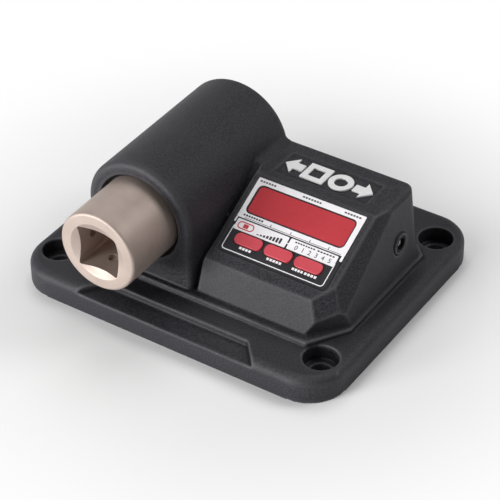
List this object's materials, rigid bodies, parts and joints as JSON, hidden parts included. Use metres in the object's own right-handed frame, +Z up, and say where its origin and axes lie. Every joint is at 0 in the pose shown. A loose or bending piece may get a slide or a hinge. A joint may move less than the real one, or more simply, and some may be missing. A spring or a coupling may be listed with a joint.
{
  "type": "torque tester",
  "caption": "Bench torque tester: a flanged cast housing with a horizontal sensor barrel, a square socket drive and a sloping keypad display.",
  "frame": {"origin": "middle of the housing's underside, centred between the bench bolt holes, on the surface that it stands on", "axes": "+X to the right along the base's longer side, from the sensor to the display; the square drive faces -Y, towards the user; +Z up, out of the bench"},
  "size_m": [0.155, 0.1345, 0.0681],
  "materials": {
    "housing": "textured dark grey paint",
    "bottom_cover": "dark grey paint",
    "bottom_cover_screws": "zinc plated",
    "torque_sensor": "satin plating with a warm tone",
    "sensor_bolts": "black oxide",
    "sensor_dowels": "ground",
    "support_bush": "machined bronze",
    "dust_seal": "black",
    "strain_gauges": "foil on amber backing",
    "gauge_harness": "grey-black jacket",
    "harness_grommet": "black",
    "display_window": "dark red tinted",
    "printed_film": "black film with white print",
    "key_left": "red",
    "key_middle": "red",
    "key_right": "red",
    "switch_bodies": "black",
    "plunger_left": "white",
    "plunger_middle": "white",
    "plunger_right": "white",
    "main_board": "green solder resist",
    "board_screws": "zinc plated",
    "display_module": "dark red",
    "processor_chip": "black",
    "amplifier_chip": "black",
    "supply_capacitor": "dark blue sleeve",
    "harness_header": "cream",
    "supply_header": "cream",
    "supply_jack": "black",
    "jack_nut": "black",
    "jack_pin": "nickel plated",
    "supply_leads": "red jacket"
  },
  "bodies": {
    "tester": {"housing": "housing", "bottom_cover": "bottom_cover", "bottom_cover_screws": "bottom_cover_screws", "torque_sensor": "torque_sensor", "sensor_bolts": "sensor_bolts", "sensor_dowels": "sensor_dowels", "support_bush": "support_bush", "dust_seal": "dust_seal", "strain_gauges": "strain_gauges", "gauge_harness": "gauge_harness", "harness_grommet": "harness_grommet", "display_window": "display_window", "printed_film": "printed_film", "switch_bodies": "switch_bodies", "main_board": "main_board", "board_screws": "board_screws", "display_module": "display_module", "processor_chip": "processor_chip", "amplifier_chip": "amplifier_chip", "supply_capacitor": "supply_capacitor", "harness_header": "harness_header", "supply_header": "supply_header", "supply_jack": "supply_jack", "jack_nut": "jack_nut", "jack_pin": "jack_pin", "supply_leads": "supply_leads"},
    "key_left": {"key_left": "key_left", "plunger_left": "plunger_left"},
    "key_middle": {"key_middle": "key_middle", "plunger_middle": "plunger_middle"},
    "key_right": {"key_right": "key_right", "plunger_right": "plunger_right"}
  },
  "joints": [
    {"name": "key_left_press", "type": "slide", "parent": "tester", "child": "key_left", "axis": [0, 0.454, -0.891], "range_m": [0, 0.0006], "stiffness_N_per_m": 400, "springref_m": -0.0005},
    {"name": "key_middle_press", "type": "slide", "parent": "tester", "child": "key_middle", "axis": [0, 0.454, -0.891], "range_m": [0, 0.0006], "stiffness_N_per_m": 400, "springref_m": -0.0005},
    {"name": "key_right_press", "type": "slide", "parent": "tester", "child": "key_right", "axis": [0, 0.454, -0.891], "range_m": [0, 0.0006], "stiffness_N_per_m": 400, "springref_m": -0.0005}
  ]
}
